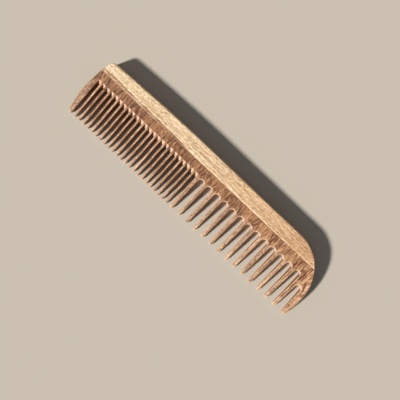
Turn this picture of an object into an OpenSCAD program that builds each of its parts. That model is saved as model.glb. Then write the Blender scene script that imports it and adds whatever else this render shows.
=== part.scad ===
// Two-piece wooden comb with a fine half and a wide-tooth half.
//
// A long-grain spine rail is glued to a board whose grain runs along the
// teeth. Both faces taper evenly from the spine to the tooth tips, so the comb
// lies with one tapered face flat on the table and its back edge raised.
//
// Drawing frame: X along the comb from the fine end to the rounded coarse end,
// "w" is the distance from the back edge towards the tips, and the faces are
// symmetric about a middle plane. lay_down() turns that drawing into the
// resting pose: origin at the bottom centre of the bounding box, teeth towards
// -Y, +Z up. All sizes are in millimetres.

/* [Comb] */
// Overall length, from the fine end to the rounded coarse end
comb_len = 180; // [170:1:200]
// Overall width, from the back edge to the tooth tips
comb_w = 42; // [40:0.5:46]
// Thickness of the spine between its two flat faces
spine_t = 10; // [8:0.5:12]
// Thickness of the teeth at their tips
tip_t = 2; // [1.6:0.1:3]

/* [Spine] */
// Width of the flat face, from the back edge to the start of the taper
flat_w = 8.9; // [7.5:0.1:9.5]
// Distance from the back edge to the glue line, at mid-length
glue_w = 9.8; // [9.6:0.1:10.4]
// How far the glue line is out of parallel with the back edge, in degrees
glue_slant = 0.22; // [0:0.02:0.3]
// Rounding radius along the back edge
back_r = 0.7; // [0.5:0.1:2.5]

/* [Glued joint] */
// Thickness of the tongue on the tooth board
tongue_t = 3.4; // [2.5:0.1:4]
// Height of the tongue above the glue line
tongue_h = 4.2; // [3:0.1:5]

/* [Fine half] */
// Number of saw kerfs in the fine half
fine_gaps = 24; // [20:1:26]
// Width of a fine saw kerf
fine_kerf = 2.1; // [1.6:0.05:2.2]
// Width of the end tooth at the fine end, at its root
fine_end_w = 4.3; // [4:0.05:6]
// Distance from the back edge to the kerf ends, at the faces
fine_root_w = 15.6; // [14.5:0.1:15.7]
// Length of the bevel at the kerf ends, between face and middle plane
kerf_bevel = 2.5; // [1:0.1:2.9]

/* [Wide half] */
// Number of wide gaps, the short last one included
wide_gaps = 14; // [11:1:14]
// Width of a wide gap between the teeth, at the root
wide_gap = 4.1; // [3.9:0.05:4.2]
// How far the middle wide gap sits towards the fine half, compared with an
// even pitch: the pitch grows a little towards the coarse end
wide_shift = 0.6; // [0:0.05:0.8]
// Distance from the back edge to the round roots of the wide gaps
wide_root_w = 16.5; // [16.4:0.1:18]
// Width of the tooth between the two halves
middle_tooth_w = 2.5; // [2:0.1:3.5]
// Width of the last gap, beside the end tooth
last_gap = 3.7; // [3:0.1:4]
// How much further from the back edge the root of the last gap lies
last_drop = 6.1; // [5:0.1:9]

/* [Tooth shape] */
// How much a fine tooth narrows between root and tip
fine_narrow = 0.15; // [0:0.05:0.5]
// How much a wide tooth narrows between root and tip
wide_narrow = 0.3; // [0:0.05:0.8]
// Bevel along the edges of a fine tooth
fine_edge = 0.3; // [0.1:0.05:0.4]
// Bevel along the edges of a wide tooth
wide_edge = 0.5; // [0.1:0.05:0.6]

/* [Hidden] */

beech   = [0.87, 0.71, 0.50];   // spine, long grain
board   = [0.62, 0.43, 0.29];   // board, grain along the teeth
toothc  = [0.76, 0.58, 0.42];   // sanded teeth

big = 400;

// Taper of each face, and the angle at which the comb lies
taper = atan((spine_t - tip_t) / 2 / (comb_w - flat_w));

// Planes where the web ends and the teeth begin
split_w = wide_root_w + wide_gap / 2;                   // end of the web
shoulder_w = wide_root_w + last_drop + last_gap / 2;    // end of the shoulder

// Centres of the gaps along the comb
fine_x0 = fine_end_w + fine_kerf / 2;
middle_x = 0.478 * comb_len;
fine_pitch = (middle_x - middle_tooth_w / 2 - fine_kerf / 2 - fine_x0) / (fine_gaps - 1);
wide_x0 = middle_x + middle_tooth_w / 2 + wide_gap / 2;
last_x = comb_len - 6.35;
wide_pitch = (last_x - wide_x0) / (wide_gaps - 1);
fine_tooth_w = fine_pitch - fine_kerf;

function fine_x(i) = fine_x0 + i * fine_pitch;
function wide_x(i) = let (t = i / (wide_gaps - 1))
    wide_x0 + i * wide_pitch - 4 * wide_shift * t * (1 - t);

// Left and right walls of the last gap, and the wall before it
last_l = last_x - last_gap / 2;
last_r = last_x + last_gap / 2;
before_last_r = wide_x(wide_gaps - 2) + wide_gap / 2;

// Smooth closed curves: Catmull-Rom through hand-set points
function cr(a, b, c, d, t) =
    0.5 * ((2 * b) + (c - a) * t + (2 * a - 5 * b + 4 * c - d) * t * t
           + (3 * b - a - 3 * c + d) * t * t * t);
function smooth(p, steps = 5) =
    let (n = len(p))
    concat([for (i = [0 : n - 2]) for (s = [0 : steps - 1])
        cr(p[max(i - 1, 0)], p[i], p[i + 1], p[min(i + 2, n - 1)], s / steps)],
        [p[n - 1]]);

// Outline at the fine end, from the tip of the end tooth up to the back edge
fine_end_pts = [[2.9, 42], [2.2, 41.4], [1.7, 40.1], [1.35, 38.2], [1.05, 35.8],
                [0.45, 31.5], [0, 27], [0.25, 22], [0.85, 17], [1.6, 12],
                [2.15, 8.4], [2.65, 5.6], [3.4, 3.5], [5.0, 2.3], [8.2, 1.9],
                [18.7, 1.4], [36, 0.75], [54, 0.25], [75, 0], [95, 0]];
// Outline at the coarse end, as distances from that end
tail_pts = [[60, 0], [40, 0], [28, 0], [22.6, 0.3], [17.8, 1.6], [13.1, 3.8],
            [9.9, 6.3], [7.2, 9.2], [4.9, 12.3], [3.1, 15.5], [1.65, 19],
            [0.65, 22.8], [0.1, 26.6], [0, 30.4], [0.12, 34.2],
            [0.4, 37.6], [0.75, 40.2], [1.5, 42]];

function plan_pt(u, w) = [u - comb_len / 2, flat_w - w * comb_w / 42];
outline = concat([for (p = smooth(fine_end_pts)) plan_pt(p[0], p[1])],
                 [for (p = smooth(tail_pts)) plan_pt(comb_len - p[0], p[1])]);

// Side view: flat spine with a rounded back edge, then two tapering faces
function arc(cy, cz, r, a0, a1, n = 10) =
    [for (i = [0 : n]) let (a = a0 + (a1 - a0) * i / n) [cy + r * cos(a), cz + r * sin(a)]];
tip_y = flat_w - comb_w;
tip_cut = 0.55;
side_pts = concat(
    arc(flat_w - back_r, spine_t / 2 - back_r, back_r, 0, 90),
    [[0, spine_t / 2], [tip_y + tip_cut, tip_t / 2 + tan(taper) * tip_cut],
     [tip_y, tip_t / 2 - tip_cut], [tip_y, -tip_t / 2 + tip_cut],
     [tip_y + tip_cut, -tip_t / 2 - tan(taper) * tip_cut], [0, -spine_t / 2]],
    arc(flat_w - back_r, -spine_t / 2 + back_r, back_r, -90, 0));

// Resting pose: the lower tapered face lies on the table
rest_max = (flat_w - back_r) * cos(taper) + (spine_t / 2 - back_r) * sin(taper) + back_r;
rest_min = tip_y * cos(taper) - (tip_t / 2 - tip_cut) * sin(taper);

module lay_down()
    translate([0, -(rest_max + rest_min) / 2, spine_t / 2 * cos(taper)])
        rotate([taper, 0, 0]) children();

// Solid between the two faces, over any plan shape given as children
module between_faces()
    intersection() {
        rotate([90, 0, 90]) linear_extrude(height = comb_len + 20, center = true)
            polygon(side_pts);
        linear_extrude(height = spine_t + 4, center = true) children();
    }

// Strip of the plan between two distances from the back edge
module band(w0, w1, u0 = -10, u1 = big)
    translate([u0 - comb_len / 2, flat_w - w1]) square([u1 - u0, w1 - w0]);

// Strip of the plan between two distances from the glue line, which is
// slightly out of parallel with the back edge
module glue_strip(d0, d1)
    translate([0, flat_w - glue_w]) rotate(glue_slant)
        translate([-big / 2, d0]) square([big, d1 - d0]);

// Wedge-shaped saw kerf that ends in a two-sided bevel
module kerf(u) {
    z = spine_t / 2 + 2;
    face_z = spine_t / 2 - tan(taper) * (fine_root_w - flat_w);
    run = kerf_bevel * z / face_z;
    y_mid = flat_w - fine_root_w - kerf_bevel;
    translate([u - comb_len / 2 - fine_kerf / 2, 0, 0]) rotate([90, 0, 90])
        linear_extrude(height = fine_kerf)
            polygon([[y_mid, 0], [y_mid + run, z], [flat_w - comb_w - 5, z],
                     [flat_w - comb_w - 5, -z], [y_mid + run, -z]]);
}

// Gap with a round root
module round_gap(u, w, gap)
    translate([u - comb_len / 2, flat_w - w - gap / 2, 0])
        cylinder(d = gap, h = spine_t + 4, center = true, $fn = 48);

// Plan shape of one tooth with a blunt rounded tip
module tooth_plan(u, w0, root_b, narrow) {
    b1 = (root_b - narrow) / 2;
    r = b1;
    y0 = flat_w - w0;
    y1 = tip_y + r;
    translate([u - comb_len / 2, 0]) {
        polygon([[-root_b / 2, y0], [-b1, y1], [b1, y1], [root_b / 2, y0]]);
        translate([0, y1]) circle(r = r, $fn = 32);
    }
}

// Bevelled prism that follows one face along a tooth
module ridge(u, b, edge, side)
    translate([u - comb_len / 2, 0, side * spine_t / 2]) rotate([side * taper, 0, 0])
        rotate([90, 0, 0]) translate([0, 0, -2]) linear_extrude(height = comb_w + 4)
            polygon([[-b / 2, -side * (spine_t + 4)], [-b / 2, -side * edge], [-b / 2 + edge, 0],
                     [b / 2 - edge, 0], [b / 2, -side * edge], [b / 2, -side * (spine_t + 4)]]);

// Long-grain rail with a groove along its lower edge
module spine() lay_down() color(beech)
    difference() {
        between_faces() intersection() { polygon(outline); glue_strip(0, 20); }
        linear_extrude(height = tongue_t, center = true) glue_strip(-1, tongue_h);
    }

// Web of the tooth board, with its tongue and the roots of all the gaps
module tooth_board() lay_down() color(board)
    difference() {
        union() {
            between_faces() difference() {
                intersection() { polygon(outline); band(0, split_w); }
                glue_strip(0, 20);
            }
            linear_extrude(height = tongue_t, center = true)
                intersection() { polygon(outline); glue_strip(-1, tongue_h); }
        }
        for (i = [0 : fine_gaps - 1]) kerf(fine_x(i));
        for (i = [0 : wide_gaps - 2]) round_gap(wide_x(i), wide_root_w, wide_gap);
    }

// Fine teeth, sawn in the same board
module fine_teeth() lay_down() color(toothc)
    intersection() {
        between_faces() for (i = [0 : fine_gaps - 2])
            tooth_plan(fine_x(i) + fine_pitch / 2, split_w, fine_tooth_w, fine_narrow);
        union() for (i = [0 : fine_gaps - 2])
            ridge(fine_x(i) + fine_pitch / 2, fine_tooth_w, fine_edge, 1);
        union() for (i = [0 : fine_gaps - 2])
            ridge(fine_x(i) + fine_pitch / 2, fine_tooth_w, fine_edge, -1);
    }

// Wide teeth: the middle tooth, the full ones, and the one beside the shoulder
function wide_tooth(i) =
    i == 0 ? [middle_x, split_w, middle_tooth_w] :
    i < wide_gaps - 1 ? [(wide_x(i - 1) + wide_x(i)) / 2, split_w, wide_x(i) - wide_x(i - 1) - wide_gap] :
    [(before_last_r + last_l) / 2, shoulder_w, last_l - before_last_r];

module wide_teeth() lay_down() color(toothc)
    intersection() {
        between_faces() for (i = [0 : wide_gaps - 1]) let (t = wide_tooth(i))
            tooth_plan(t[0], t[1], t[2], wide_narrow);
        union() for (i = [0 : wide_gaps - 1]) let (t = wide_tooth(i))
            ridge(t[0], t[2], wide_edge, 1);
        union() for (i = [0 : wide_gaps - 1]) let (t = wide_tooth(i))
            ridge(t[0], t[2], wide_edge, -1);
    }

// Strong tooth that guards the fine end
module fine_end_tooth() lay_down() color(toothc)
    between_faces() intersection() {
        polygon(outline);
        band(split_w, comb_w + 1, -10, fine_end_w);
    }

// Part of the board above the short last gap
module tail_shoulder() lay_down() color(board)
    difference() {
        between_faces() intersection() {
            polygon(outline);
            band(split_w, shoulder_w, before_last_r, comb_len + 10);
        }
        round_gap(last_x, wide_root_w + last_drop, last_gap);
    }

// Broad tooth at the rounded coarse end
module tail_end_tooth() lay_down() color(toothc)
    between_faces() intersection() {
        polygon(outline);
        polygon([[last_r - comb_len / 2, flat_w - shoulder_w],
                 [last_r + 0.9 - comb_len / 2, tip_y - 0.01],
                 [comb_len / 2 + 5, tip_y - 0.01],
                 [comb_len / 2 + 5, flat_w - shoulder_w]]);
    }

spine();
tooth_board();
fine_teeth();
wide_teeth();
fine_end_tooth();
tail_shoulder();
tail_end_tooth();
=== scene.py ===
import math
import random

import bpy
from mathutils import Matrix, Vector, geometry, noise


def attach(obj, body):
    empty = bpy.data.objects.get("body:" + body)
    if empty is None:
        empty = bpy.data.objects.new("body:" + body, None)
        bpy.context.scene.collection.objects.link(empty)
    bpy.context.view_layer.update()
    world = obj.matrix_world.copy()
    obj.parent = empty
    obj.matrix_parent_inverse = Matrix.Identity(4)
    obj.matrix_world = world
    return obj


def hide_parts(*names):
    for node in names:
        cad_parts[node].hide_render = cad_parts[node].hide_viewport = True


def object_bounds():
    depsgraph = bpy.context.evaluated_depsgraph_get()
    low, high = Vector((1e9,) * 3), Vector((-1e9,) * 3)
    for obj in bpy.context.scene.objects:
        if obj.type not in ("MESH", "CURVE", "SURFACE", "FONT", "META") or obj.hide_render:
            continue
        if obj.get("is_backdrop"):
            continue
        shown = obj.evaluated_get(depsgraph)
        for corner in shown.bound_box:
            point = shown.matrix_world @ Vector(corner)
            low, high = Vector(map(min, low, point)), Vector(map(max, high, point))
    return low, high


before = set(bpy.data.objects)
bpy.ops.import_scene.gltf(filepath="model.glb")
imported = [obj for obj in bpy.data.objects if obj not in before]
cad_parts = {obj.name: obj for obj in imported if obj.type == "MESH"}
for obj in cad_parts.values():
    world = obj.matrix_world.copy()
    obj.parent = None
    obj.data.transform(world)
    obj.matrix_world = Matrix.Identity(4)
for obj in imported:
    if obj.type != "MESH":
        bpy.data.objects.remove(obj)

# The CAD box, from straight after loading, in metres.
CAD_LO, CAD_HI = (Vector(v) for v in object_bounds())

rng = random.Random(17)

# ---------------------------------------------------------------------------
# Sizes of the comb in millimetres, in its own drawing frame: X along the comb,
# Y towards the back edge, Z = 0 on the middle plane. "w" is a distance from
# the back edge towards the tips and "u" a distance from the fine end.
# ---------------------------------------------------------------------------
LEN, WID = 180.0, 42.0
HALF_T, HALF_TIP = 5.0, 1.0
FLAT_W = 8.9
GLUE_W, GLUE_SLANT = 9.8, math.radians(0.22)
BACK_R = 0.7
TONGUE_HALF, TONGUE_H = 1.7, 4.2
ALPHA = math.atan((HALF_T - HALF_TIP) / (WID - FLAT_W))
TAN_A = math.tan(ALPHA)

FINE_GAPS, KERF, FINE_END_W, FINE_ROOT_W, BEVEL = 24, 2.1, 4.3, 15.6, 2.5
WIDE_GAPS, GAP, WIDE_ROOT_W = 14, 4.1, 16.5
MIDDLE_W, LAST_GAP, LAST_DROP = 2.5, 3.7, 6.1
MIDDLE_X = 0.478 * LEN
FINE_X0 = FINE_END_W + KERF / 2
FINE_PITCH = (MIDDLE_X - MIDDLE_W / 2 - KERF / 2 - FINE_X0) / (FINE_GAPS - 1)
WIDE_X0 = MIDDLE_X + MIDDLE_W / 2 + GAP / 2
LAST_X = LEN - 6.35
WIDE_PITCH = (LAST_X - WIDE_X0) / (WIDE_GAPS - 1)
WIDE_SHIFT = 0.6
TIP_Y = FLAT_W - WID

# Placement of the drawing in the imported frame, taken from the CAD box: the
# back edge touches the box's +Y side and the lower tapered face lies on z = 0.
REST_MAX = (FLAT_W - BACK_R) * math.cos(ALPHA) + (HALF_T - BACK_R) * math.sin(ALPHA) + BACK_R
OFF = Vector(((CAD_LO.x + CAD_HI.x) * 500.0, CAD_HI.y * 1000.0 - REST_MAX,
              CAD_LO.z * 1000.0 + HALF_T * math.cos(ALPHA)))
PLACE = Matrix.Translation(OFF) @ Matrix.Rotation(ALPHA, 4, "X")


def X(u):
    return u - LEN / 2


def Y(w):
    return FLAT_W - w


# ---------------------------------------------------------------------------
# Thickness of the blank at a point of the plan
# ---------------------------------------------------------------------------
def soft_ramp(d, s):
    """0 before the arris, d after it, with a sanded-round change over 2s."""
    if d <= -s:
        return 0.0
    if d >= s:
        return d
    return (d + s) ** 2 / (4 * s)


def arris_gap(x):
    """How far the upper arris lies above the glue line: it runs away from it at the fine end."""
    return 0.45 + 1.3 * max(0.0, min(1.0, (10.0 - x) / 88.0)) ** 2


def arris_top(x):
    """Distance from the back edge to the upper arris, which hand sanding left out of parallel."""
    return GLUE_W - x * math.tan(GLUE_SLANT) - arris_gap(x)


def h_top(x, y):
    w = FLAT_W - y
    a = arris_top(x)
    h = HALF_T - (HALF_T - HALF_TIP) / (WID - a) * soft_ramp(w - a, 0.7)
    # hand sanding leaves the face a few hundredths of a millimetre uneven
    n = noise.noise(Vector((x * 0.045, y * 0.11, 3.7))) + 0.5 * noise.noise(Vector((x * 0.12, y * 0.25, 9.1)))
    return h - 0.022 * (0.5 + 0.5 * max(-1.0, min(1.0, n)))


def h_bottom(x, y):
    w = FLAT_W - y
    return HALF_T - TAN_A * soft_ramp(w - FLAT_W, 0.5)


# ---------------------------------------------------------------------------
# Closed plan outline, anticlockwise, as [x, y, dy at the middle plane, radius]
# ---------------------------------------------------------------------------
def catmull(p, steps):
    out = []
    n = len(p)
    for i in range(n - 1):
        a, b, c, d = p[max(i - 1, 0)], p[i], p[i + 1], p[min(i + 2, n - 1)]
        for s in range(steps):
            t = s / steps
            out.append(tuple(
                0.5 * (2 * b[k] + (c[k] - a[k]) * t + (2 * a[k] - 5 * b[k] + 4 * c[k] - d[k]) * t * t
                       + (3 * b[k] - a[k] - 3 * c[k] + d[k]) * t ** 3) for k in (0, 1)))
    out.append(p[-1])
    return out


FINE_END = [(2.8, 41.92), (2.2, 41.4), (1.7, 40.1), (1.35, 38.2), (1.05, 35.8), (0.45, 31.5), (0, 27),
            (0.25, 22), (0.85, 17), (1.6, 12), (2.15, 8.4), (2.65, 5.6), (3.4, 3.5), (5.0, 2.3), (8.2, 1.9),
            (18.7, 1.4), (36, 0.75), (54, 0.25), (75, 0), (95, 0)]
TAIL = [(60, 0), (40, 0), (28, 0), (22.6, 0.3), (17.8, 1.6), (13.1, 3.8), (9.9, 6.3), (7.2, 9.2),
        (4.9, 12.3), (3.1, 15.5), (1.65, 19), (0.65, 22.8), (0.1, 26.6), (0, 30.4), (0.12, 34.2),
        (0.4, 37.6), (0.7, 39.6), (1.05, 40.9), (1.6, 41.7), (2.4, 41.96)]


def even(pts, step):
    """The same polyline with points about one step apart."""
    out = [pts[0]]
    for a, b in zip(pts, pts[1:]):
        d = math.dist(a, b)
        n = max(1, round(d / step))
        out += [tuple(a[k] + (b[k] - a[k]) * i / n for k in (0, 1)) for i in range(1, n + 1)]
    return out


def thin(pts, step):
    """Drops points that lie closer together than the step."""
    out = [pts[0]]
    for p in pts[1:-1]:
        if math.dist(p, out[-1]) >= step:
            out.append(p)
    if math.dist(out[-1], pts[-1]) < step * 0.5 and len(out) > 1:
        out.pop()
    return out + [pts[-1]]


def end_radius(w, base, low):
    """Rounding along an end: large at the back, smaller down the board."""
    t = max(0.0, min(1.0, (w - 3.0) / 8.0))
    t = t * t * (3 - 2 * t)
    return base + (low - base) * t


outline = []


def add(x, y, r, dy=0.0):
    h = min(h_top(x, y), h_bottom(x, y))
    outline.append([x, y, dy, min(r, 0.72 * h)])


def wall(x0, y0, x1, y1, r0, r1, first=True, step=1.25, bow=0.0):
    n = max(2, round(abs(y1 - y0) / step))
    for i in range(0 if first else 1, n + 1):
        t = i / n
        wob = 0.018 * math.sin(7.1 * t + x0 * 3.3) * math.sin(math.pi * t)
        add(x0 + (x1 - x0) * t + (wob + bow) * math.sin(math.pi * t),
            y0 + (y1 - y0) * t, r0 + (r1 - r0) * min(1.0, t * 3))


def tip(xl, xr, ytip, k, r, n):
    """Blunt round tip from the left wall to the right one; k is its height over its half width."""
    c, b = (xl + xr) / 2, (xr - xl) / 2
    for i in range(1, n):
        a = math.pi + math.pi * i / n
        # a slightly squared arc, as sanding leaves it
        ca, sa = math.cos(a), math.sin(a)
        e = 0.80
        px = c + b * math.copysign(abs(ca) ** e, ca)
        py = ytip + b * k * (1 - abs(sa) ** e)
        add(px, py, r)


def jitter(a):
    return rng.uniform(-a, a)


# fine end tooth: its right wall runs up to the first kerf
fine_c = [FINE_X0 + i * FINE_PITCH + (jitter(0.07) if 0 < i < FINE_GAPS - 1 else 0.0) for i in range(FINE_GAPS)]
fine_hw = [KERF / 2 + jitter(0.03) for i in range(FINE_GAPS)]
fine_lean = [jitter(0.085) for i in range(FINE_GAPS)]
fine_root = [FINE_ROOT_W + jitter(0.11) for i in range(FINE_GAPS)]
wide_c = [WIDE_X0 + i * WIDE_PITCH - 4 * WIDE_SHIFT * (i / 13) * (1 - i / 13)
          + (jitter(0.09) if i < WIDE_GAPS - 1 else 0.0) for i in range(WIDE_GAPS)]
wide_hw = [GAP / 2 + jitter(0.05) for i in range(WIDE_GAPS - 1)] + [LAST_GAP / 2]
wide_lean = [jitter(0.07) for i in range(WIDE_GAPS)]
wide_root = [WIDE_ROOT_W + jitter(0.10) for i in range(WIDE_GAPS - 1)] + [WIDE_ROOT_W + LAST_DROP]

R_FINE, R_FINE_TIP, R_WIDE, R_WIDE_TIP, R_ROOT = 0.42, 0.40, 0.72, 0.60, 0.72

end_r = 0.75
start_u = 4.3
# inner corner of the fine end tooth's tip, then its inner wall
for t in (0.25, 0.5, 0.75):
    a = math.pi / 2 * t
    add(X(start_u - 0.75 + 0.75 * math.sin(a)), Y(41.9 - 0.9 * (1 - math.cos(a))), 0.5)
wall(X(start_u), Y(40.9), X(fine_c[0] - fine_hw[0]), Y(fine_root[0] + BEVEL + 0.55), 0.5, 0.42, step=1.3)


def kerf_top(i):
    xl, xr, yf = X(fine_c[i] - fine_hw[i]), X(fine_c[i] + fine_hw[i]), Y(fine_root[i])
    f = 0.27
    skew = jitter(0.07)
    for px, py, s in ((xl, yf - f, -1), (xl + 0.29 * f, yf - 0.29 * f, -0.8), (xl + f, yf, -0.5),
                      ((xl + xr) / 2, yf + 0.03, 0), (xr - f, yf, 0.5),
                      (xr - 0.29 * f, yf - 0.29 * f, 0.8), (xr, yf - f, 1)):
        add(px, py + skew * s, 0.3, -BEVEL)


for i in range(FINE_GAPS):
    kerf_top(i)
    if i == FINE_GAPS - 1:
        break
    xl, xr = X(fine_c[i] + fine_hw[i]), X(fine_c[i + 1] - fine_hw[i + 1])
    tl = xl + 0.07 + fine_lean[i]
    tr = xr - 0.07 + fine_lean[i]
    if tr - tl < 1.14:
        c = (tl + tr) / 2
        tl, tr = c - 0.57, c + 0.57
    drop = rng.uniform(0.0, 0.16)
    ytip = TIP_Y + drop
    b = (tr - tl) / 2
    wall(xl, Y(fine_root[i] + BEVEL + 0.55), tl, ytip + b * 1.15, R_FINE, R_FINE, bow=jitter(0.03))
    tip(tl, tr, ytip, 1.15, R_FINE_TIP, 9)
    wall(tr, ytip + b * 1.15, xr, Y(fine_root[i + 1] + BEVEL + 0.55), R_FINE, R_FINE, bow=jitter(0.03))

# middle tooth, then the wide half
for j in range(WIDE_GAPS + 1):
    if j == 0:
        xl, y_l = X(fine_c[-1] + fine_hw[-1]), Y(fine_root[-1] + BEVEL + 0.55)
    else:
        xl, y_l = X(wide_c[j - 1] + wide_hw[j - 1]), Y(wide_root[j - 1] + wide_hw[j - 1])
    if j == WIDE_GAPS:
        break
    xr, y_r = X(wide_c[j] - wide_hw[j]), Y(wide_root[j] + wide_hw[j])
    tl = xl + 0.17 + wide_lean[j]
    tr = xr - 0.17 + wide_lean[j]
    b = (tr - tl) / 2
    ytip = TIP_Y + rng.uniform(0.0, 0.15)
    bow = jitter(0.05)
    wall(xl, y_l, tl, ytip + b * 1.05, R_ROOT if j else 0.5, R_WIDE, first=(j == 0), bow=bow)
    tip(tl, tr, ytip, 1.05, R_WIDE_TIP, 14)
    wall(tr, ytip + b * 1.05, xr, y_r, R_WIDE, R_WIDE, bow=bow)
    # round root of the next gap, from its left wall over the top to its right wall
    R = wide_hw[j]
    for i in range(1, 17):
        a = math.pi - math.pi * i / 16
        blend = math.sin(a)
        add(X(wide_c[j]) + R * math.cos(a), y_r + R * math.sin(a),
            R_WIDE + (R_ROOT - R_WIDE) * min(1.0, blend * 1.6))

# tail end tooth: slanted inner wall, tip, outer side, back edge, fine end
last_r = LAST_X + LAST_GAP / 2
wall(X(last_r), Y(wide_root[-1] + LAST_GAP / 2), X(last_r + 0.88), Y(41.2), R_WIDE, 0.5, first=False)
for t in (0.25, 0.5, 0.75):
    a = math.pi / 2 * t
    add(X(last_r + 0.88 + 0.6 * (1 - math.cos(a))), Y(41.2 + 0.76 * math.sin(a)), 0.5)
tail = [(LEN - u, w) for u, w in catmull(TAIL, 8)]
tail = thin(tail[::-1], 0.32)
for u, w in tail:
    if u > 105:
        add(X(min(u, LEN - 0.004)), Y(w), end_radius(w, BACK_R, 0.6))
back = thin(catmull(FINE_END, 8), 0.3)[::-1]
for u, w in even(back, 1.5):
    if u < 104:
        add(X(max(u, 0.004)), Y(w), end_radius(w, BACK_R, 0.55))


# thin the long straight back edge to an even step and close the gap between its two halves
def tidy(pts):
    out = []
    for p in pts:
        if out and math.dist(p[:2], out[-1][:2]) < 0.04:
            continue
        if out:
            q = out[-1]
            d = math.dist(p[:2], q[:2])
            if d > 2.2 and abs(p[1] - q[1]) < 0.5 and p[1] > 5:
                n = math.ceil(d / 1.8)
                for k in range(1, n):
                    out.append([q[m] + (p[m] - q[m]) * k / n for m in range(4)])
        out.append(p)
    while math.dist(out[0][:2], out[-1][:2]) < 0.04:
        out.pop()
    return out


outline = tidy(outline)
N = len(outline)

# smooth the rounding radius along the outline so that it never jumps
for _ in range(3):
    rad = [p[3] for p in outline]
    for i in range(N):
        outline[i][3] = 0.25 * rad[i - 1] + 0.5 * rad[i] + 0.25 * rad[(i + 1) % N]


def inward(i):
    p, a, b = outline[i], outline[i - 1], outline[(i + 1) % N]
    t1 = Vector((p[0] - a[0], p[1] - a[1])).normalized()
    t2 = Vector((b[0] - p[0], b[1] - p[1])).normalized()
    n1, n2 = Vector((-t1.y, t1.x)), Vector((-t2.y, t2.x))
    m = (n1 + n2) / max(0.6, 1 + n1.dot(n2))
    return m


NRM = [inward(i) for i in range(N)]


def support(r):
    return r + (0.08 if r < 0.5 else 0.11)


# where the outline turns more tightly than its rounding, as at the tooth tips, the
# rounding gets smaller, so that the support ring never folds over itself
step = [math.dist(outline[i - 1][:2], outline[i][:2]) for i in range(N)]
for _ in range(80):
    q = [(p[0] + m.x * support(p[3]), p[1] + m.y * support(p[3])) for p, m in zip(outline, NRM)]
    limit = [1e9] * N
    for i in range(N):
        j = (i + 1) % N
        ex, ey = outline[j][0] - outline[i][0], outline[j][1] - outline[i][1]
        if (q[j][0] - q[i][0]) * ex + (q[j][1] - q[i][1]) * ey < 0.04 * (ex * ex + ey * ey):
            for k in (i, j):
                limit[k] = min(limit[k], outline[k][3] * 0.95)
    if min(limit) > 1e8:
        break
    for k in range(2 * N):
        limit[k % N] = min(limit[k % N], limit[(k - 1) % N] + 0.35 * step[k % N])
    for k in range(2 * N, 0, -1):
        limit[(k - 1) % N] = min(limit[(k - 1) % N], limit[k % N] + 0.35 * step[k % N])
    for i in range(N):
        outline[i][3] = min(outline[i][3], limit[i])

# ---------------------------------------------------------------------------
# Skin: support ring, rounded edge, wall, middle ring, and the same below
# ---------------------------------------------------------------------------
STEPS = 6
verts, faces = [], []
rings = []


def ring(offset_of, z_of):
    base = len(verts)
    for i in range(N):
        x, y, dy, r = outline[i]
        o = offset_of(r)
        px, py = x + NRM[i].x * o, y + NRM[i].y * o
        verts.append((px, py, z_of(i, px, py, r)))
    rings.append(base)


def lay_side(h, sign, order):
    levels = [("in", None)] + [("round", math.pi / 2 * k / STEPS) for k in range(STEPS + 1)] + [("wall", None)]
    if order < 0:
        levels = levels[::-1]
    for kind, a in levels:
        if kind == "in":
            ring(support, lambda i, px, py, r: sign * h(px, py))
        elif kind == "round":
            ring(lambda r, a=a: r * (1 - math.sin(a)),
                 lambda i, px, py, r, a=a: sign * (h(px, py) - r * (1 - math.cos(a))))
        else:
            ring(lambda r: 0.0,
                 lambda i, px, py, r: sign * (h(px, py) - r - min(0.3, 0.4 * (h(px, py) - r))))
            if True:
                # on a bevelled kerf end the wall slopes from the face to the middle plane
                base = rings[-1]
                for i in range(N):
                    dy = outline[i][2]
                    if dy:
                        x, y, z = verts[base + i]
                        full = h(x, y) - outline[i][3]
                        verts[base + i] = (x, y + dy * (1 - abs(z) / full), z)


lay_side(h_top, 1, 1)
base = len(verts)
for i in range(N):
    x, y, dy, r = outline[i]
    verts.append((x, y + dy, 0.0))
rings.append(base)
lay_side(h_bottom, -1, -1)

for a, b in zip(rings, rings[1:]):
    for i in range(N):
        j = (i + 1) % N
        faces.append((a + i, b + i, b + j, a + j))

# caps: constrained Delaunay over the support ring, with rows along both arrises
cap = [Vector(verts[rings[0] + i][:2]) for i in range(N)]
edges = [(i, (i + 1) % N) for i in range(N)]
extra = []


def inside_margin(x, y, margin):
    w = FLAT_W - y
    u = x + LEN / 2
    # quick test against the support ring
    best = 1e9
    for q in near[int(u // 4)]:
        d = (q.x - x) ** 2 + (q.y - y) ** 2
        if d < best:
            best = d
    return best > margin * margin


near = {}
for c in range(-2, 50):
    near[c] = []
for q in cap:
    c = int((q.x + LEN / 2) // 4)
    for k in (c - 1, c, c + 1):
        near.setdefault(k, []).append(q)


def in_plan(x, y):
    """Even-odd test against the support ring."""
    hit = False
    for i in range(N):
        a, b = cap[i - 1], cap[i]
        if (a.y > y) != (b.y > y) and x < (b.x - a.x) * (y - a.y) / (b.y - a.y) + a.x:
            hit = not hit
    return hit


def row(f):
    """A constrained row of points along the comb at height y = f(x)."""
    last = None
    n = 118
    for k in range(n + 1):
        x = -88.5 + 177.0 * k / n
        y = f(x)
        if inside_margin(x, y, 0.45) and in_plan(x, y):
            extra.append(Vector((x, y)))
            idx = N + len(extra) - 1
            if last is not None:
                edges.append((last, idx))
            last = idx
        else:
            last = None


for d in (-0.7, -0.35, 0.0, 0.35, 0.7):
    row(lambda x, d=d: Y(arris_top(x) + d))
row_ys = [lambda x: Y(arris_top(x) - 1.9), lambda x: Y(arris_top(x) - 3.3), lambda x: Y(4.1), lambda x: Y(2.9),
          lambda x: Y(arris_top(x) + 1.7), lambda x: Y(arris_top(x) + 2.9), lambda x: Y(arris_top(x) + 4.1),
          lambda x: Y(14.4)]
for f in row_ys:
    row(f)
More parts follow.
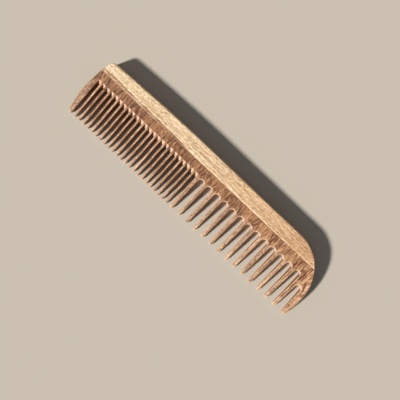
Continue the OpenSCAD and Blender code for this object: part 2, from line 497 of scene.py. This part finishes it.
# shoulder above the short last gap and the body of the tail tooth
for w in (15.6, 16.9, 18.2, 19.5, 20.8, 22.1, 24.0, 26.5, 29.0, 31.5, 34.0, 36.5):
    for u in (170.3, 171.6, 172.9, 174.2, 175.5, 176.8, 177.6):
        x, y = X(u), Y(w)
        if inside_margin(x, y, 0.5) and in_plan(x, y):
            extra.append(Vector((x, y)))

cv, ce, cf, ov, oe, of_ = geometry.delaunay_2d_cdt(cap + extra, edges, [], 1, 1e-6)
top_id, bot_id = {}, {}
first_ring, last_ring = rings[0], rings[-1]
for k, src in enumerate(ov):
    src = min(src) if src else None
    if src is not None and src < N:
        top_id[k], bot_id[k] = first_ring + src, last_ring + src
    else:
        x, y = cv[k]
        top_id[k] = len(verts)
        verts.append((x, y, h_top(x, y)))
        bot_id[k] = len(verts)
        verts.append((x, y, -h_bottom(x, y)))
for f in cf:
    a = sum(cv[f[i - 1]].x * cv[f[i]].y - cv[f[i]].x * cv[f[i - 1]].y for i in range(len(f)))
    if a < 0:
        f = f[::-1]
    faces.append(tuple(top_id[k] for k in f))
    faces.append(tuple(bot_id[k] for k in reversed(f)))

blank_mesh = bpy.data.meshes.new("comb_blank")
blank_mesh.from_pydata(verts, [], faces)
blank_mesh.validate()
blank = bpy.data.objects.new("comb_blank", blank_mesh)
bpy.context.scene.collection.objects.link(blank)

# ---------------------------------------------------------------------------
# The blank comes apart at the glued joint: spine rail with a groove, tooth
# board with a tongue. The cutter is the space of the spine, groove left out.
# ---------------------------------------------------------------------------
prof = [(0, -9), (22, -9), (22, 9), (0, 9), (0, TONGUE_HALF), (TONGUE_H, TONGUE_HALF),
        (TONGUE_H, -TONGUE_HALF), (0, -TONGUE_HALF)]
cs, sn = math.cos(GLUE_SLANT), math.sin(GLUE_SLANT)
glue_y = Y(GLUE_W)
cverts = []
for xx in (-110.0, 110.0):
    for v, z in prof:
        cverts.append((xx * cs - v * sn, glue_y + xx * sn + v * cs, z))
n = len(prof)
cfaces = [tuple(range(n)), tuple(range(2 * n - 1, n - 1, -1))]
cfaces += [(i, n + i, n + (i + 1) % n, (i + 1) % n) for i in range(n)]
cutter_mesh = bpy.data.meshes.new("joint_cutter")
cutter_mesh.from_pydata(cverts, [], cfaces)
import bmesh
bm = bmesh.new()
bm.from_mesh(cutter_mesh)
bmesh.ops.triangulate(bm, faces=[f for f in bm.faces if len(f.verts) > 4])
bmesh.ops.recalc_face_normals(bm, faces=bm.faces)
bm.to_mesh(cutter_mesh)
bm.free()
cutter = bpy.data.objects.new("joint_cutter", cutter_mesh)
bpy.context.scene.collection.objects.link(cutter)


def split_off(name, operation):
    mod = blank.modifiers.new("split", "BOOLEAN")
    mod.operation = operation
    mod.object = cutter
    mod.solver = "EXACT"
    dg = bpy.context.evaluated_depsgraph_get()
    mesh = bpy.data.meshes.new_from_object(blank.evaluated_get(dg))
    blank.modifiers.remove(mod)
    mesh.name = name
    mesh.materials.clear()
    bm = bmesh.new()
    bm.from_mesh(mesh)
    bmesh.ops.remove_doubles(bm, verts=bm.verts, dist=1e-4)
    bmesh.ops.dissolve_degenerate(bm, dist=1e-5, edges=bm.edges)
    bmesh.ops.triangulate(bm, faces=[f for f in bm.faces if len(f.verts) > 4])
    bm.transform(PLACE)
    bm.transform(Matrix.Scale(0.001, 4))
    e = 1e-7
    for v in bm.verts:
        v.co.x = min(max(v.co.x, CAD_LO.x + e), CAD_HI.x - e)
        v.co.y = min(max(v.co.y, CAD_LO.y + e), CAD_HI.y - e)
        v.co.z = min(max(v.co.z, CAD_LO.z + e), CAD_HI.z - e)
    open_edges = sum(1 for ed in bm.edges if len(ed.link_faces) != 2)
    print(f"{name}: {len(bm.verts)} vertices, {len(bm.faces)} faces, {open_edges} open edges")
    if open_edges:
        raise RuntimeError(f"{name} is not closed: {open_edges} open edges")
    bm.to_mesh(mesh)
    bm.free()
    for p in mesh.polygons:
        p.use_smooth = True
    mesh.set_sharp_from_angle(angle=math.radians(32))
    piece = bpy.data.objects.new(name, mesh)
    bpy.context.scene.collection.objects.link(piece)
    return piece


spine_rail = split_off("spine_rail", "INTERSECT")
tooth_board = split_off("tooth_board_wood", "DIFFERENCE")
bpy.data.objects.remove(blank)
bpy.data.objects.remove(cutter)

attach(spine_rail, "root")
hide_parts("spine")
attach(tooth_board, "root")
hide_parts("tooth_board", "fine_teeth", "wide_teeth", "fine_end_tooth",
            "tail_shoulder", "tail_end_tooth")


# ---------------------------------------------------------------------------
# Materials: procedural beech in the comb's own coordinates (millimetres)
# ---------------------------------------------------------------------------
def srgb(r, g, b):
    def lin(c):
        c /= 255.0
        return c / 12.92 if c <= 0.04045 else ((c + 0.055) / 1.055) ** 2.4
    return (lin(r), lin(g), lin(b), 1.0)


class Tree:
    """Small helper that builds a node tree from expressions."""

    def __init__(self, name):
        self.mat = bpy.data.materials.new(name)
        self.mat.use_nodes = True
        self.t = self.mat.node_tree
        self.t.nodes.clear()
        self.out = self.t.nodes.new("ShaderNodeOutputMaterial")
        self.bsdf = self.t.nodes.new("ShaderNodeBsdfPrincipled")
        self.t.links.new(self.bsdf.outputs["BSDF"], self.out.inputs["Surface"])
        coord = self.t.nodes.new("ShaderNodeTexCoord")
        place = self.t.nodes.new("ShaderNodeMapping")
        place.vector_type = "POINT"
        inv = Matrix.Rotation(-ALPHA, 3, "X")
        shift = -(inv @ OFF)
        place.inputs["Scale"].default_value = (1000.0, 1000.0, 1000.0)
        place.inputs["Rotation"].default_value = (-ALPHA, 0.0, 0.0)
        place.inputs["Location"].default_value = shift
        self.t.links.new(coord.outputs["Object"], place.inputs["Vector"])
        self.P = place.outputs["Vector"]
        sep = self.t.nodes.new("ShaderNodeSeparateXYZ")
        self.t.links.new(self.P, sep.inputs[0])
        self.x, self.y, self.z = sep.outputs
        # how far the surface turns away from the comb's two faces
        geo = self.t.nodes.new("ShaderNodeNewGeometry")
        dot = self.t.nodes.new("ShaderNodeVectorMath")
        dot.operation = "DOT_PRODUCT"
        self.t.links.new(geo.outputs["Normal"], dot.inputs[0])
        dot.inputs[1].default_value = (0.0, -math.sin(ALPHA), math.cos(ALPHA))
        self.nz = self.math("ABSOLUTE", dot.outputs["Value"])
        dot = self.t.nodes.new("ShaderNodeVectorMath")
        dot.operation = "DOT_PRODUCT"
        self.t.links.new(geo.outputs["Normal"], dot.inputs[0])
        dot.inputs[1].default_value = (0.0, -math.cos(ALPHA), -math.sin(ALPHA))
        self.ny = dot.outputs["Value"]

    def _in(self, node, key, val):
        if hasattr(val, "is_output"):
            self.t.links.new(val, node.inputs[key])
        else:
            node.inputs[key].default_value = val

    def math(self, op, a, b=None, c=None, clamp=False):
        n = self.t.nodes.new("ShaderNodeMath")
        n.operation = op
        n.use_clamp = clamp
        for k, v in enumerate((a, b, c)):
            if v is not None:
                self._in(n, k, v)
        return n.outputs[0]

    def add(self, a, b):
        return self.math("ADD", a, b)

    def mul(self, a, b):
        return self.math("MULTIPLY", a, b)

    def smooth(self, v, lo, hi, a=0.0, b=1.0):
        n = self.t.nodes.new("ShaderNodeMapRange")
        n.interpolation_type = "SMOOTHSTEP"
        self._in(n, "Value", v)
        n.inputs["From Min"].default_value = lo
        n.inputs["From Max"].default_value = hi
        n.inputs["To Min"].default_value = a
        n.inputs["To Max"].default_value = b
        return n.outputs["Result"]

    def vscale(self, v, s):
        n = self.t.nodes.new("ShaderNodeVectorMath")
        n.operation = "MULTIPLY"
        self.t.links.new(v, n.inputs[0])
        n.inputs[1].default_value = s
        return n.outputs[0]

    def vec(self, x, y, z):
        n = self.t.nodes.new("ShaderNodeCombineXYZ")
        for k, v in enumerate((x, y, z)):
            self._in(n, k, v)
        return n.outputs[0]

    def noise(self, v, s, detail=2.0, rough=0.5, distort=0.0):
        n = self.t.nodes.new("ShaderNodeTexNoise")
        n.noise_dimensions = "3D"
        self.t.links.new(self.vscale(v, s), n.inputs["Vector"])
        n.inputs["Scale"].default_value = 1.0
        n.inputs["Detail"].default_value = detail
        n.inputs["Roughness"].default_value = rough
        n.inputs["Distortion"].default_value = distort
        return n.outputs["Fac"]

    def ramp(self, fac, stops, interp="LINEAR"):
        n = self.t.nodes.new("ShaderNodeValToRGB")
        n.color_ramp.interpolation = interp
        el = n.color_ramp.elements
        while len(el) > len(stops):
            el.remove(el[-1])
        while len(el) < len(stops):
            el.new(1.0)
        for e, (p, c) in zip(el, stops):
            e.position = p
            e.color = c if hasattr(c, "__len__") else (c, c, c, 1.0)
        self._in(n, "Fac", fac)
        return n.outputs["Color"]

    def mix(self, fac, a, b, mode="MIX"):
        n = self.t.nodes.new("ShaderNodeMix")
        n.data_type = "RGBA"
        n.blend_type = mode
        n.clamp_factor = True
        self._in(n, 0, fac)
        self._in(n, 6, a)
        self._in(n, 7, b)
        return n.outputs[2]

    def finish(self, colour, rough, height, distance, strength=1.0):
        self.t.links.new(colour, self.bsdf.inputs["Base Color"])
        self.t.links.new(rough, self.bsdf.inputs["Roughness"])
        bump = self.t.nodes.new("ShaderNodeBump")
        bump.inputs["Strength"].default_value = strength
        bump.inputs["Distance"].default_value = distance
        self.t.links.new(height, bump.inputs["Height"])
        self.t.links.new(bump.outputs["Normal"], self.bsdf.inputs["Normal"])
        self.bsdf.inputs["Specular IOR Level"].default_value = 0.38
        self.bsdf.inputs["IOR"].default_value = 1.45
        return self.mat

    def glue_line(self, half):
        """1 on the thin glue line that shows where spine and board meet, 0 elsewhere."""
        v = self.add(self.add(self.mul(self.y, math.cos(GLUE_SLANT)), self.mul(self.x, -math.sin(GLUE_SLANT))),
                     -glue_y * math.cos(GLUE_SLANT))
        az = self.math("ABSOLUTE", self.z)
        inner = self.math("MAXIMUM", self.add(az, -TONGUE_HALF), self.add(v, -TONGUE_H))
        d = self.math("ABSOLUTE", self.math("MINIMUM", v, inner))
        return self.smooth(d, half * 0.35, half, 1.0, 0.0)


def dark(c, f, warm=1.0):
    return (c[0] * f, c[1] * f / warm ** 0.5, c[2] * f / warm, 1.0)


# --- spine: long grain -------------------------------------------------------
s = Tree("spine_long_grain_beech")
wander = s.noise(s.P, (0.018, 0.09, 0.09), 2.0, 0.5)
wander2 = s.noise(s.P, (0.09, 0.30, 0.30), 2.0, 0.5)
yw = s.add(s.y, s.add(s.mul(s.add(wander, -0.5), 1.3), s.mul(s.add(wander2, -0.5), 0.22)))
warped = s.vec(s.x, yw, s.z)
# growth rings cut lengthwise
ry, rz = s.add(yw, 46.0), s.add(s.z, 21.0)
dist = s.math("SQRT", s.add(s.mul(ry, ry), s.mul(rz, rz)))
ring = s.ramp(s.math("FRACT", s.mul(dist, 0.55)), [(0.0, 0.15), (0.40, 0.0), (0.78, 0.40), (0.92, 1.0), (1.0, 0.2)])
ring = s.mul(ring, s.smooth(s.noise(s.P, (0.03, 0.25, 0.25), 1.0), 0.30, 0.66, 0.25, 1.0))
# tone: broad, medium and fine streaks along the rail
broad = s.noise(warped, (0.020, 0.24, 0.20), 2.0, 0.5)
medium = s.noise(warped, (0.070, 0.95, 0.85), 2.0, 0.55)
fibre = s.noise(warped, (0.17, 1.85, 1.7), 2.0, 0.6)
dash = s.noise(warped, (0.45, 2.30, 2.2), 1.0, 0.5)
hair = s.noise(warped, (0.20, 6.5, 6.5), 3.0, 0.6)
tone = s.add(s.mul(s.add(broad, -0.5), 0.40), s.mul(s.add(medium, -0.5), 0.75))
tone = s.add(tone, s.mul(s.add(fibre, -0.5), 1.35))
tone = s.add(tone, s.mul(s.add(dash, -0.5), 1.90))
tone = s.add(tone, s.mul(s.add(hair, -0.5), 0.40))
tone = s.add(tone, s.mul(ring, -0.10))
tone = s.add(tone, 0.5)
along = s.math("MULTIPLY_ADD", s.x, 1.0 / 184.0, 0.5, clamp=True)
base = s.ramp(along, [(0.0, srgb(241, 216, 178)), (0.45, srgb(229, 198, 160)), (0.75, srgb(220, 181, 141)),
                      (1.0, srgb(216, 173, 133))])
grade = s.ramp(tone, [(0.0, (0.52, 0.42, 0.32, 1.0)), (0.30, (0.80, 0.73, 0.64, 1.0)), (0.50, (0.99, 0.98, 0.97, 1.0)),
                      (0.70, (1.14, 1.18, 1.22, 1.0)), (1.0, (1.25, 1.34, 1.44, 1.0))])
col = s.mix(1.0, base, grade, "MULTIPLY")
# short dark ray flecks: fine ones everywhere, larger ones sparse and in loose groups
group = s.smooth(s.noise(s.P, (0.035, 0.16, 0.16), 2.0), 0.42, 0.62)
fleck_n = s.noise(warped, (0.36, 2.4, 2.4), 1.0, 0.4)
fleck = s.mul(s.smooth(fleck_n, 0.640, 0.725), group)
fleck_s = s.smooth(s.noise(warped, (0.60, 3.1, 3.1), 1.0, 0.4), 0.60, 0.70)
col = s.mix(s.mul(fleck, 0.72), col, srgb(152, 98, 57))
col = s.mix(s.mul(fleck_s, 0.62), col, srgb(166, 112, 68))
# along the arris: towards the fine end a dark broken line with a painted highlight line above it
# and a pinker strip below, towards the coarse end a painted highlight line where the arris catches the key light
above = s.add(s.add(s.mul(s.y, math.cos(GLUE_SLANT)), s.mul(s.x, -math.sin(GLUE_SLANT))),
              -glue_y * math.cos(GLUE_SLANT))
away = s.math("MULTIPLY_ADD", s.x, -1.0 / 88.0, 10.0 / 88.0, clamp=True)
d_arris = s.math("SUBTRACT", above, s.math("MULTIPLY_ADD", s.mul(away, away), 1.3, 0.45))
broken = s.smooth(s.noise(s.P, (0.09, 0.0, 0.0), 3.0), 0.28, 0.56, 0.35, 1.0)
left = s.smooth(s.x, -11.0, -24.0)
line_left = s.smooth(s.x, -12.0, -25.0)
right = s.smooth(s.x, -27.0, -14.0)
waver = s.mul(s.add(s.noise(s.P, (0.14, 0.0, 0.0), 2.0), -0.5), 0.3)
# painted highlight: a pale line just above the arris towards the fine end
arris_highlight_fine_end = s.smooth(s.math("ABSOLUTE", s.add(s.add(d_arris, waver), -1.15)), 0.15, 0.80, 1.0, 0.0)
col = s.mix(s.mul(s.mul(arris_highlight_fine_end, left), 0.60), col, (1.13, 1.17, 1.22, 1.0), "MULTIPLY")
strip = s.smooth(d_arris, -0.10, -0.45)
pink = s.noise(s.P, (0.10, 0.9, 0.9), 2.0)
col = s.mix(s.mul(s.mul(strip, left), s.smooth(pink, 0.35, 0.65, 0.75, 1.0)), col, (0.68, 0.55, 0.51, 1.0), "MULTIPLY")
line = s.mul(s.smooth(s.math("ABSOLUTE", s.add(d_arris, waver)), 0.18, 0.70, 1.0, 0.0), broken)
col = s.mix(s.mul(s.mul(line, line_left), 0.95), col, (0.40, 0.28, 0.19, 1.0), "MULTIPLY")
# painted highlight: a pale line along the arris towards the coarse end
arris_highlight_coarse_end = s.smooth(s.math("ABSOLUTE", s.add(s.add(d_arris, waver), -0.12)), 0.22, 0.75, 1.0, 0.0)
col = s.mix(s.mul(s.mul(arris_highlight_coarse_end, right), 0.85), col, (1.26, 1.38, 1.52, 1.0), "MULTIPLY")
# handling: rounded edges a little darker and smoother, in patches
edge = s.mul(s.smooth(s.nz, 0.10, 0.45), s.smooth(s.nz, 0.985, 0.86))
handled = s.mul(edge, s.smooth(s.noise(s.P, (0.05, 0.2, 0.2), 3.0), 0.35, 0.65))
col = s.mix(s.mul(handled, 0.35), col, (0.84, 0.76, 0.68, 1.0), "MULTIPLY")
# end grain where the rail is cut across, at both ends
endgrain = s.smooth(s.math("ABSOLUTE", s.x), 82.0, 88.6)
endgrain = s.mul(endgrain, s.smooth(s.nz, 0.9, 0.5))
col = s.mix(s.mul(endgrain, 0.6), col, (0.66, 0.55, 0.46, 1.0), "MULTIPLY")
glue = s.glue_line(0.11)
col = s.mix(s.mul(glue, 0.5), col, srgb(112, 70, 42))
rough = s.math("MULTIPLY_ADD", fibre, 0.22, 0.42)
rough = s.add(rough, s.mul(fleck, 0.10))
rough = s.math("SUBTRACT", rough, s.mul(handled, 0.10), clamp=True)
height = s.add(s.mul(fibre, 0.7), s.mul(hair, 0.6))
height = s.math("SUBTRACT", height, s.mul(fleck, 0.8))
height = s.math("SUBTRACT", height, s.mul(fleck_s, 0.5))
height = s.math("SUBTRACT", height, s.mul(ring, 0.35))
height = s.math("SUBTRACT", height, s.mul(glue, 1.0))
spine_mat = s.finish(col, rough, height, 0.00006, 0.6)
spine_rail.data.materials.append(spine_mat)

# --- tooth board: grain along the teeth --------------------------------------
b = Tree("tooth_board_beech")
wander = b.noise(b.P, (0.10, 0.020, 0.10), 2.0, 0.5)
wander2 = b.noise(b.P, (0.35, 0.07, 0.35), 2.0, 0.5)
xw = b.add(b.x, b.add(b.mul(b.add(wander, -0.5), 2.0), b.mul(b.add(wander2, -0.5), 0.35)))
warped = b.vec(xw, b.y, b.z)
# tone: 3 to 6 mm bands, medium stripes and fine fibres along the teeth
bands = b.noise(warped, (0.27, 0.006, 0.10), 1.0, 0.5)
stripes = b.noise(warped, (0.90, 0.030, 0.5), 2.0, 0.55)
fibre = b.noise(warped, (1.60, 0.050, 1.5), 2.0, 0.6)
dash = b.noise(warped, (1.75, 0.230, 1.8), 1.0, 0.5)
hair = b.noise(warped, (6.5, 0.20, 6.5), 3.0, 0.6)
ring = b.ramp(b.math("FRACT", b.add(b.mul(xw, 0.46), b.mul(b.z, 0.21))),
              [(0.0, 0.15), (0.40, 0.0), (0.78, 0.40), (0.92, 1.0), (1.0, 0.2)])
ring = b.mul(ring, b.smooth(b.noise(b.P, (0.12, 0.02, 0.1), 1.0), 0.30, 0.66, 0.2, 1.0))
tone = b.add(b.mul(b.add(bands, -0.5), 1.00), b.mul(b.add(stripes, -0.5), 1.15))
tone = b.add(tone, b.mul(b.add(fibre, -0.5), 2.55))
tone = b.add(tone, b.mul(b.add(dash, -0.5), 2.00))
tone = b.add(tone, b.mul(b.add(hair, -0.5), 0.40))
tone = b.add(tone, b.mul(ring, -0.14))
tone = b.add(tone, 0.52)
along = b.math("MULTIPLY_ADD", b.x, 1.0 / 184.0, 0.5, clamp=True)
web = b.ramp(along, [(0.0, srgb(112, 74, 48)), (0.035, srgb(136, 94, 62)), (0.45, srgb(140, 95, 59)),
                     (0.75, srgb(154, 110, 76)), (1.0, srgb(174, 131, 94))])
teeth = b.ramp(along, [(0.0, srgb(178, 138, 109)), (0.45, srgb(178, 140, 110)), (0.75, srgb(182, 142, 110)),
                       (1.0, srgb(192, 150, 114))])
w = b.math("SUBTRACT", FLAT_W, b.y)
edge_w = b.add(w, b.mul(b.add(b.noise(b.P, (0.6, 0.1, 0.6), 2.0), -0.5), 2.6))
to_teeth = b.smooth(b.math("SUBTRACT", edge_w, b.smooth(b.x, 73.0, 80.0, 0.0, 3.2)), 14.9, 18.6)
base = b.mix(to_teeth, web, teeth)
# on the teeth the streaks are weaker and broken up into short dots
dots = b.noise(warped, (1.9, 0.85, 1.9), 1.0, 0.5)
calm = b.math("MULTIPLY_ADD", to_teeth, -0.48, 1.0)
tone = b.math("MULTIPLY_ADD", b.add(tone, -0.52), calm, 0.52)
tone = b.add(tone, b.mul(b.mul(b.add(dots, -0.5), 1.35), to_teeth))
base = b.mix(b.smooth(w, 33.0, 42.0, 0.0, 0.45), base, srgb(214, 182, 150))
grade = b.ramp(tone, [(0.0, (0.33, 0.21, 0.13, 1.0)), (0.28, (0.67, 0.55, 0.45, 1.0)), (0.50, (0.98, 0.96, 0.94, 1.0)),
                      (0.70, (1.34, 1.38, 1.40, 1.0)), (1.0, (1.85, 2.00, 2.15, 1.0))])
col = b.mix(1.0, base, grade, "MULTIPLY")
# pores and ray flecks: short dark dashes along the teeth
group = b.smooth(b.noise(b.P, (0.16, 0.04, 0.16), 2.0), 0.40, 0.62, 0.35, 1.0)
fleck = b.mul(b.smooth(b.noise(warped, (2.3, 0.50, 2.3), 1.0, 0.4), 0.63, 0.72), group)
pore = b.smooth(b.noise(warped, (3.4, 0.85, 3.4), 1.0, 0.4), 0.62, 0.71)
col = b.mix(b.mul(fleck, 0.72), col, srgb(92, 48, 22))
col = b.mix(b.mul(pore, 0.50), col, srgb(102, 57, 30))
# kerf ends and gap roots are paler: partly the fresh-sawn and sanded wood, partly a painted highlight, as the mask
# picks the faces turned towards the tips and the key light
sawn_and_lit_ends = b.mul(b.smooth(b.ny, 0.20, 0.65), b.smooth(w, 27.2, 26.0))
fresh = b.smooth(b.noise(b.P, (0.9, 0.5, 0.3), 2.0), 0.30, 0.62, 0.55, 0.95)
col = b.mix(b.mul(sawn_and_lit_ends, fresh), col, srgb(246, 211, 184))
edge = b.mul(b.smooth(b.nz, 0.10, 0.45), b.smooth(b.nz, 0.99, 0.90))
col = b.mix(b.mul(b.mul(edge, b.smooth(w, 14.0, 17.0)), 0.40), col, srgb(226, 186, 150))
# the end tooth at the fine end is a darker streak of the board
end_tooth = b.mul(b.smooth(b.x, -84.6, -86.0), to_teeth)
col = b.mix(end_tooth, col, (0.83, 0.84, 0.81, 1.0), "MULTIPLY")
# painted shade: the walls between the teeth, down in the gaps, are darkened, partly also because sawn walls stay a
# little darker than the sanded faces
gap_walls_sawn_and_shaded = b.mul(b.smooth(b.nz, 0.25, 0.05), b.smooth(b.ny, 0.5, 0.2))
col = b.mix(b.mul(gap_walls_sawn_and_shaded, 0.80), col, (0.52, 0.40, 0.31, 1.0), "MULTIPLY")
# a short dark crack in the grain beside the root of the last gap
slant = b.math("MULTIPLY_ADD", w, -0.34, 0.0)
jag = b.mul(b.add(b.noise(b.P, (0.5, 1.7, 0.5), 2.0), -0.5), 1.1)
fx = b.math("ABSOLUTE", b.add(b.add(b.add(b.x, slant), jag), -78.80))
crack = b.mul(b.smooth(fx, 0.24, 0.60, 1.0, 0.0), b.mul(b.smooth(w, 18.7, 19.6), b.smooth(w, 24.4, 23.4)))
col = b.mix(b.mul(crack, 0.95), col, srgb(70, 24, 14))
glue = b.glue_line(0.13)
col = b.mix(b.mul(glue, 0.55), col, srgb(92, 56, 34))
rough = b.math("MULTIPLY_ADD", fibre, 0.24, 0.44)
rough = b.add(rough, b.mul(gap_walls_sawn_and_shaded, 0.12))
rough = b.math("SUBTRACT", rough, b.mul(edge, 0.08), clamp=True)
# saw marks: fine lines across the walls of the gaps
saw = b.noise(b.P, (0.6, 2.2, 9.0), 2.0, 0.5)
height = b.add(b.mul(fibre, 0.7), b.mul(hair, 0.6))
height = b.math("SUBTRACT", height, b.mul(fleck, 0.9))
height = b.math("SUBTRACT", height, b.mul(pore, 0.6))
height = b.math("SUBTRACT", height, b.mul(ring, 0.35))
height = b.math("SUBTRACT", height, b.mul(crack, 1.5))
height = b.add(height, b.mul(b.mul(saw, gap_walls_sawn_and_shaded), 0.8))
height = b.math("SUBTRACT", height, b.mul(glue, 1.0))
board_mat = b.finish(col, rough, height, 0.00007, 0.6)
tooth_board.data.materials.append(board_mat)

# ---------------------------------------------------------------------------
# Floor, light, camera
# ---------------------------------------------------------------------------
floor_mesh = bpy.data.meshes.new("floor")
F = 3.0
floor_mesh.from_pydata([(-F, -F, -0.0002), (F, -F, -0.0002), (F, F, -0.0002), (-F, F, -0.0002)], [], [(0, 1, 2, 3)])
floor = bpy.data.objects.new("floor", floor_mesh)
bpy.context.scene.collection.objects.link(floor)
floor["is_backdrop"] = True
fm = bpy.data.materials.new("pale_floor")
fm.use_nodes = True
fb = fm.node_tree.nodes["Principled BSDF"]
fb.inputs["Base Color"].default_value = srgb(206, 197, 184)
fb.inputs["Roughness"].default_value = 0.85
fb.inputs["Specular IOR Level"].default_value = 0.2
floor_mesh.materials.append(fm)

world = bpy.data.worlds.new("soft_room")
bpy.context.scene.world = world
world.use_nodes = True
bg = world.node_tree.nodes["Background"]
bg.inputs["Color"].default_value = (0.93, 0.96, 1.0, 1.0)
bg.inputs["Strength"].default_value = 0.16

sun_data = bpy.data.lights.new("key", "SUN")
sun_data.energy = 4.15
sun_data.angle = math.radians(7.0)
sun_data.color = (1.0, 0.965, 0.92)
sun = bpy.data.objects.new("key", sun_data)
to_light = Vector((-0.300, -0.727, 0.618)).normalized()
sun.rotation_mode = "QUATERNION"
sun.rotation_quaternion = to_light.to_track_quat("Z", "Y")
sun.location = to_light * 0.8
bpy.context.scene.collection.objects.link(sun)

cam_data = bpy.data.cameras.new("camera")
cam_data.type = "PERSP"
cam_data.sensor_width = 36.0
cam_data.lens = 60.08
cam_data.shift_x = -0.0363
cam_data.shift_y = 0.0344
cam_data.clip_start = 0.01
cam_data.clip_end = 20.0
cam = bpy.data.objects.new("camera", cam_data)
mid = (CAD_LO + CAD_HI) / 2
cam.location = (mid.x + 0.01772, mid.y - 0.0057, CAD_LO.z + 0.400)
cam.rotation_euler = (0.0, 0.0, math.radians(43.5))
bpy.context.scene.collection.objects.link(cam)
bpy.context.scene.camera = cam

bpy.context.scene.view_settings.view_transform = "Standard"
bpy.context.scene.view_settings.look = "None"
bpy.context.scene.view_settings.exposure = 0.0
bpy.context.scene.view_settings.gamma = 1.0
